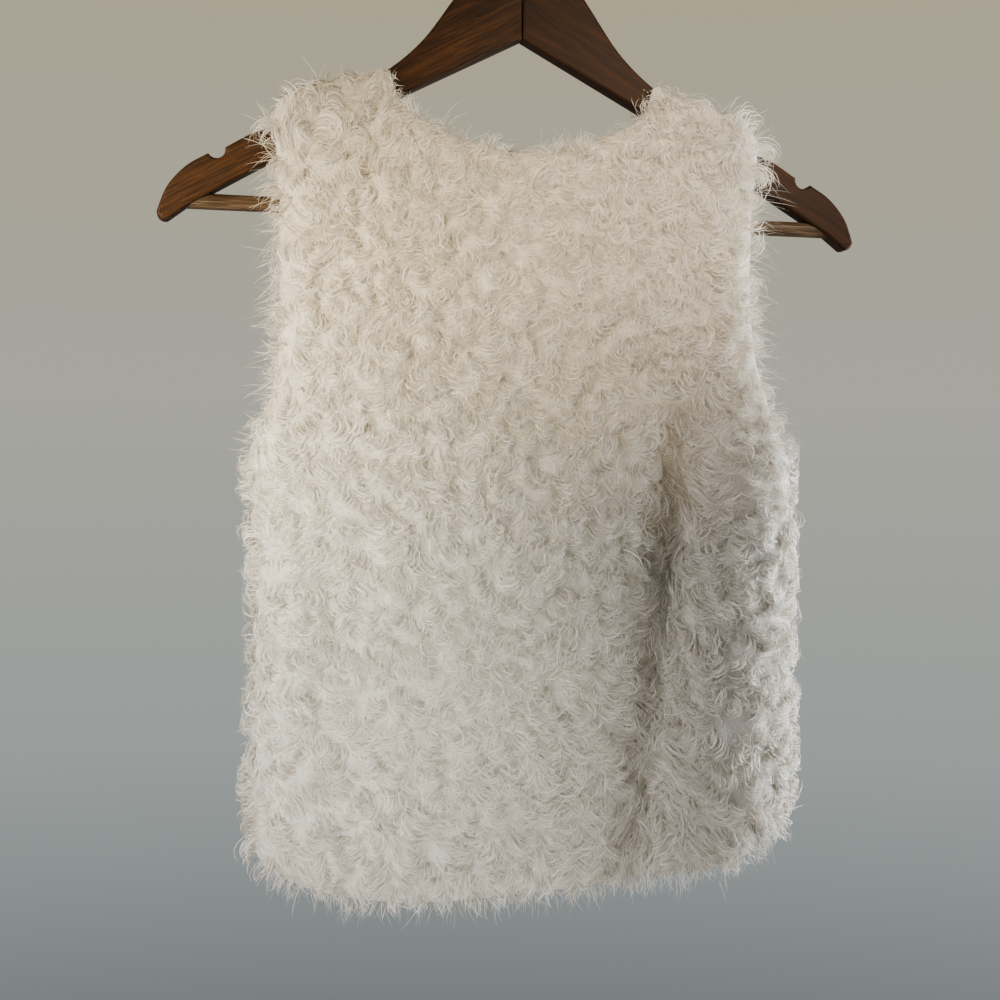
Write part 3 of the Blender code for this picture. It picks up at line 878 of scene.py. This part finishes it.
# %% [markdown]
# ## Loose hairs
#
# Fur has no hard outline. A thin scatter of longer, finer hairs stands out past the tufts, most
# of all along the armholes, the neck and the hem, where nothing holds them down, and on the outer
# ends of the shoulders, where they stand up.

# %% Loose hairs
HAIR_POINTS = 5
HAIR_EDGE = 16.0  # most hairs grow this near to a free edge
HAIR_LENGTH, HAIR_EXTRA = 8.0, 16.0
HAIR_WIDTH = (0.16, 0.34)
HAIR_LIFT = 1.3


def loose_hairs(label, panel, count, seed):
    rng = np.random.default_rng(seed)
    tries = count * 6
    share = rng.uniform(panel.first, 1.0, tries)
    up = rng.uniform(0.0, 1.0, tries)
    root, normal, down = panel.frames(share, up)
    edge, to_edge = nearest(root, panel.free_edges())
    near = np.clip(1 - edge / (HAIR_EDGE * MM), 0.0, 1.0)
    shoulder = shoulder_end(root)
    kept = rng.uniform(0, 1, tries) < 0.06 + 0.9 * near + 0.8 * shoulder
    kept &= np.cumsum(kept) <= count
    root, normal, down, to_edge = (a[kept] for a in (root, normal, down, to_edge))
    near, shoulder = near[kept], shoulder[kept]
    hairs = len(root)
    side = unit(np.cross(normal, down))
    hem = smooth(1 - up[kept] * 12)
    wander = rng.normal(0, 0.5, (hairs, 2)) * (1 - 0.6 * hem)[:, None]
    worn = neck_corner(root)
    # Hairs lean out over a free edge, and stand up at the ends of the shoulders.
    out = normal * (1 - 0.62 * near)[:, None] + to_edge * (near * (1.25 - 1.5 * worn))[:, None]
    out = out - down * (HAIR_LIFT * shoulder)[:, None]
    out = unit(out + side * wander[:, :1] + down * (0.25 + wander[:, 1:]))
    length = HAIR_LENGTH + HAIR_EXTRA * rng.uniform(0, 1, hairs) ** 2
    length *= (1 - 0.3 * worn) * (1 - 0.25 * hem) * (1 + 0.45 * shoulder) * MM
    bend = unit(down + side * rng.normal(0, 1.2, (hairs, 1))) * rng.uniform(0.1, 0.75, (hairs, 1))
    t = np.linspace(0, 1, HAIR_POINTS)[None, :, None]
    paths = out[:, None, :] * t + bend[:, None, :] * t**2.2 * 0.7
    paths = root[:, None, :] + paths * length[:, None, None]
    wave = rng.uniform(0, math.tau, (hairs, 1, 1)) + t * rng.uniform(3.0, 7.0, (hairs, 1, 1))
    paths = paths + side[:, None, :] * np.sin(wave) * t * 1.1 * MM
    widths = rng.uniform(*HAIR_WIDTH, hairs) * MM
    facing = unit(normal + rng.normal(0, 0.5, (hairs, 3)))[:, None, :]
    clear = clear_of_wood(paths)
    return strand_mesh(f"{label}_loose_hairs", paths[clear], widths[clear], facing[clear], rng)


HAIR_COUNTS = (("back", 9000, 61), ("front_left", 3600, 62), ("front_right", 3600, 63))
for label, count, seed in HAIR_COUNTS:
    furs[label].append(loose_hairs(label, PANELS[label], count, seed))

# %% [markdown]
# ## What was cut
#
# The size of cloth that each panel was cut from is printed beside the area of its cloth. The fur
# goes with it as its own pieces.

CUTS = {"back": (0.37, 0.51), "front_left": (0.185, 0.51), "front_right": (0.185, 0.51)}
for label, flat in CUTS.items():
    print(label, "cut", flat, f"area {areas[label]:.4f}")

# %% [markdown]
# ## Wood
#
# The hanger is beech, stained dark under a thin dull finish. The left arm in the photo shows long
# dark streaks of grain, and the right arm is smoother and redder, as two boards from one pile
# often are. The grain runs along each arm, so the pattern's coordinates are turned to its slope
# and stretched: streaks about 1 mm wide and 22 mm long, on broad bands of 6 by 80 mm.

# %% Stained wood
ARM_SLOPE = math.radians(29.0)
STREAKS = (45.0, 700.0, 1000.0)  # to a metre: along the grain, through the board, across it
BANDS = (12.0, 160.0, 160.0)


def stained_wood(name, slope, colours, streaked, roughness=0.6):
    material, tree, shader = new_material(
        name, {"Roughness": roughness, "IOR": 1.5, "Specular IOR Level": 0.12}
    )
    place = add(tree, "ShaderNodeTexCoord")
    turned = add(
        tree,
        "ShaderNodeMapping",
        values={"Rotation": (0.0, slope, 0.0)},
        links={"Vector": place.outputs["Object"]},
    )
    noises = []
    for scale, detail, fine, warp in ((BANDS, 3.0, 0.5, 1.0), (STREAKS, 4.0, 0.6, 0.4)):
        stretched = add(
            tree,
            "ShaderNodeMapping",
            values={"Scale": scale},
            links={"Vector": turned.outputs["Vector"]},
        )
        noise = add(
            tree,
            "ShaderNodeTexNoise",
            values={"Scale": 1.0, "Detail": detail, "Roughness": fine, "Distortion": warp},
            links={"Vector": stretched.outputs["Vector"]},
        )
        noises.append(noise.outputs["Fac"])
    grain = add(
        tree,
        "ShaderNodeMix",
        {"data_type": "FLOAT"},
        {"Factor": streaked},
        {"A": noises[0], "B": noises[1]},
    )
    stain = add(
        tree,
        "ShaderNodeValToRGB",
        links={"Fac": grain.outputs["Result"]},
        stops=tuple(zip((0.36, 0.5, 0.64), colours)),
    )
    bump = add(
        tree,
        "ShaderNodeBump",
        values={"Strength": 0.25, "Distance": 0.2 * MM},
        links={"Height": grain.outputs["Result"]},
    )
    tree.links.new(stain.outputs["Color"], shader.inputs["Base Color"])
    tree.links.new(bump.outputs["Normal"], shader.inputs["Normal"])
    return material


LEFT_STAIN, RIGHT_STAIN = ("150B03", "2A1807", "41270E"), ("150A02", "241303", "331B05")
WOOD_LEFT = stained_wood("stained_beech_streaked", ARM_SLOPE, LEFT_STAIN, 0.75)
WOOD_RIGHT = stained_wood("stained_beech_plain", -ARM_SLOPE, RIGHT_STAIN, 0.5)
WOOD_BAR = stained_wood("lacquered_dowel", 0.0, ("1F170F", "382B1E", "5C4A35"), 0.7, 0.4)
print("materials", WOOD_LEFT.name, WOOD_RIGHT.name, WOOD_BAR.name)

# %% [markdown]
# ## Hanger arms
#
# Each arm was sawn from a board 13 mm thick, then its edges were rounded over on a router. A
# flat curve does the same: its outline is filled and extruded, and its own bevel rounds the
# edges. The arm meets the other one in a mitre 0.3 mm open, which shows as a dark line.

# %% Hanger arms
HANGER_HALF = 222.5
BOARD = 13.0
EDGE_ROUND = 1.8
CROWN_RISE = 57.0
CROWN_HALF = 17.0
MITRE_GAP = 0.3
NOTCH_X = 187.7
NOTCH_RADIUS = 5.4
NOTCH_SINK = 1.6
NOTCH_LIP = 0.3
TIP_ROUND = 5.0
TIP_Z = -118.0
ARM_END = ((193.2, -82.2), (206.0, -90.5), (217.0, -103.5), (222.5, -117.5))


def arc(centre, radius, start, end, steps):
    angle = np.linspace(start, end, steps + 1)
    x, z = centre[0] + radius * np.cos(angle), centre[1] + radius * np.sin(angle)
    return np.stack([x, z], axis=1)


def arm_outline():
    """(x, z) in millimetres from the apex, anticlockwise from the mitre."""
    mitre = MITRE_GAP / 2
    low = [(mitre, 0.0)] + [p for p in reversed(ARM_LOW) if p[0] > mitre]
    tip = arc((HANGER_HALF - TIP_ROUND, TIP_Z), TIP_ROUND, math.radians(-110), 0.0, 10)
    end_x = np.linspace(HANGER_HALF, ARM_END[0][0], 16)[1:]
    end = np.stack([end_x, along(ARM_END, end_x)], axis=1)
    notch_z = along(ARM_TOP, NOTCH_X - NOTCH_RADIUS) - NOTCH_SINK
    notch = arc((NOTCH_X, notch_z), NOTCH_RADIUS, math.radians(-32), math.radians(-190), 16)
    top_x = np.linspace(NOTCH_X - NOTCH_RADIUS - NOTCH_LIP, CROWN_HALF, 60)
    top = np.stack([top_x, along(ARM_TOP, top_x)], axis=1)
    return np.concatenate([low, tip, end, notch, top, [(mitre, CROWN_RISE)]])


def hanger_arm(name, sign, material):
    outline = arm_outline()
    curve = bpy.data.curves.new(name, "CURVE")
    curve.dimensions = "2D"
    curve.fill_mode = "BOTH"
    curve.extrude = (BOARD / 2 - EDGE_ROUND) * MM
    curve.bevel_depth = EDGE_ROUND * MM
    curve.bevel_resolution = 4
    curve.offset = -EDGE_ROUND * MM
    spline = curve.splines.new("POLY")
    spline.points.add(len(outline) - 1)
    for point, (x, z) in zip(spline.points, outline):
        point.co = (sign * x * MM, (z + APEX_Z) * MM, 0.0, 1.0)
    spline.use_cyclic_u = True
    flat = bpy.data.objects.new(name, curve)
    bpy.context.scene.collection.objects.link(flat)
    bpy.context.view_layer.update()
    graph = bpy.context.evaluated_depsgraph_get()
    mesh = bpy.data.meshes.new_from_object(flat.evaluated_get(graph))
    bpy.data.objects.remove(flat)
    mesh.transform(Matrix.Rotation(math.radians(90), 4, "X"))
    mesh.materials.clear()
    mesh.materials.append(material)
    mesh.shade_smooth()
    mesh.set_sharp_from_angle(angle=math.radians(35))
    arm = bpy.data.objects.new(name, mesh)
    bpy.context.scene.collection.objects.link(arm)
    return arm


WOODS = (("hanger_arm_left", -1, WOOD_LEFT), ("hanger_arm_right", 1, WOOD_RIGHT))
for node, sign, material in WOODS:
    arm = hanger_arm(f"{node}_rounded", sign, material)
    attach(arm, "root")
    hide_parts(node)
    print(arm.name, "in", material.name)

# %% [markdown]
# ## Bar and hook
#
# The trouser bar is a turned dowel, paler than the arms and a little glossier. The hook is bent
# steel wire with a bright plated finish, which is duller in patches about 4 mm wide. Both keep
# their CAD shape.

# %% Bar and hook
def plated_steel():
    material, tree, shader = new_material(
        "nickel_plated_steel", {"Base Color": rgb("C9C6C0"), "Metallic": 1.0}
    )
    place = add(tree, "ShaderNodeTexCoord")
    wear = add(
        tree,
        "ShaderNodeTexNoise",
        values={"Scale": 1 / (4.0 * MM), "Detail": 3.0},
        links={"Vector": place.outputs["Object"]},
    )
    rough = add(
        tree,
        "ShaderNodeMapRange",
        values={"From Min": 0.3, "From Max": 0.7, "To Min": 0.14, "To Max": 0.3},
        links={"Value": wear.outputs["Fac"]},
    )
    tree.links.new(rough.outputs["Result"], shader.inputs["Roughness"])
    return material


for name, material in (("trouser_bar", WOOD_BAR), ("hook", plated_steel())):
    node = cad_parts[name]
    node.data.materials.clear()
    node.data.materials.append(material)
    print("material on", name)

# %% [markdown]
# ## Floor and light
#
# A pale floor in matt paint lies far below. The world is the wall behind the hanger and the light
# from it: warm light at the top and cooler, blue grey light at the bottom. It fades to a tenth
# towards the room behind the camera.
# The photo's daylight is uneven over the fur: bright at the left and the upper right, dim from
# the deep fold to the right side. Five narrow spots that fade out from their middle light the
# bright parts, a small lamp near the left side lifts it, and a lamp the size of a window, far to
# the right, lights the wood's edges and the right side seam.

# %% Floor
FLOOR_Z = -1.3
FLOOR_RADIUS = 0.75
FLOOR_SIDES = 96

angles = np.linspace(0, math.tau, FLOOR_SIDES, endpoint=False)
ring = [(FLOOR_RADIUS * math.cos(a), FLOOR_RADIUS * math.sin(a), FLOOR_Z) for a in angles]
floor_mesh = bpy.data.meshes.new("floor")
floor_mesh.from_pydata(ring, [], [list(range(FLOOR_SIDES))])
paint = new_material("matt_floor_paint", {"Base Color": rgb("D9D8D3"), "Roughness": 0.8})[0]
floor_mesh.materials.append(paint)
floor = bpy.data.objects.new("floor", floor_mesh)
bpy.context.scene.collection.objects.link(floor)
print("floor at", FLOOR_Z, "m")

# %% World
world = bpy.data.worlds.new("room")
bpy.context.scene.world = world
world.use_nodes = True
tree = world.node_tree
sky = tree.nodes["Background"]
place = add(tree, "ShaderNodeTexCoord")
axes = add(tree, "ShaderNodeSeparateXYZ", links={"Vector": place.outputs["Generated"]})
height = add(
    tree,
    "ShaderNodeMapRange",
    values={"From Min": -0.33, "From Max": 0.33},
    links={"Value": axes.outputs["Z"]},
)
# The ramp is light, not paint: warm from above and cooler low down.
wall_light = add(
    tree,
    "ShaderNodeValToRGB",
    links={"Fac": height.outputs["Result"]},
    stops=((0.0, "757C7E"), (0.25, "9FA6A5"), (0.6, "B5B4A8"), (1.0, "BCB296")),
)
depth = add(
    tree,
    "ShaderNodeMapRange",
    {"interpolation_type": "SMOOTHSTEP"},
    {"From Min": 0.1, "From Max": 0.7, "To Min": 0.1, "To Max": 1.0},
    {"Value": axes.outputs["Y"]},
)
tree.links.new(wall_light.outputs["Color"], sky.inputs["Color"])
tree.links.new(depth.outputs["Result"], sky.inputs["Strength"])
print("world", world.name)

# %% Lamps
# name, kind, place, target, watts, colour, size in metres, cone of a spot in degrees
LAMPS = (
    ("upper_left", "SPOT", (-0.9, -1.0, -0.25), (-0.16, 0.0, -0.26), 380.0, "FFE6B6", 0.15, 13.0),
    ("middle_left", "SPOT", (-0.9, -1.0, -0.4), (-0.16, 0.0, -0.41), 118.0, "FBFFDC", 0.15, 11.0),
    ("low_left", "SPOT", (-0.8, -1.0, -0.5), (-0.135, 0.0, -0.495), 210.0, "FFF6E6", 0.15, 8.0),
    ("upper_right", "SPOT", (0.4, -1.1, 0.3), (0.12, 0.0, -0.18), 310.0, "FFEBD3", 0.15, 12.0),
    ("hem", "SPOT", (0.0, -0.9, -1.2), (-0.06, 0.0, -0.62), 142.0, "FFFDFB", 0.15, 13.0),
    ("near_left", "AREA", (-0.42, -0.3, -0.42), (-0.14, 0.0, -0.42), 3.0, "FAF8FF", 0.2, 0.0),
    ("far_window", "AREA", (0.85, 0.03, -0.42), (0.0, 0.0, -0.4), 27.0, "F6F9FF", 0.5, 0.0),
)
for name, kind, place, target, power, colour, size, cone in LAMPS:
    lamp = bpy.data.lights.new(name, kind)
    lamp.energy = power
    lamp.color = rgb(colour)[:3]
    if kind == "SPOT":
        lamp.shadow_soft_size = size
        lamp.spot_size = math.radians(cone)
        lamp.spot_blend = 1.0
    else:
        lamp.size = size
    holder = bpy.data.objects.new(name, lamp)
    bpy.context.scene.collection.objects.link(holder)
    holder.location = place
    holder.rotation_euler = (Vector(target) - Vector(place)).to_track_quat("-Z", "Y").to_euler()
    print("lamp", name, power, "W")

# %% [markdown]
# ## Camera
#
# Its place was found from the hanger in the photo: a board of known shape fixes the distance
# and the direction. It stands to the left of the vest, level, and turns 11 degrees right.

# %% Camera
YAW, ROLL = math.radians(11.07), math.radians(0.61)
optics = bpy.data.cameras.new("camera")
optics.sensor_width = 36.0
optics.lens = 54.0
camera = bpy.data.objects.new("camera", optics)
bpy.context.scene.collection.objects.link(camera)
level = Vector((math.cos(YAW), -math.sin(YAW), 0.0))
upright = Vector((0.0, 0.0, 1.0))
right = level * math.cos(ROLL) + upright * math.sin(ROLL)
top = upright * math.cos(ROLL) - level * math.sin(ROLL)
turning = Matrix((right, top, right.cross(top))).transposed()
camera.rotation_euler = turning.to_euler()
camera.location = (-0.1913, -0.926, -0.4071)
bpy.context.scene.camera = camera
print("camera with a lens of", optics.lens, "mm")
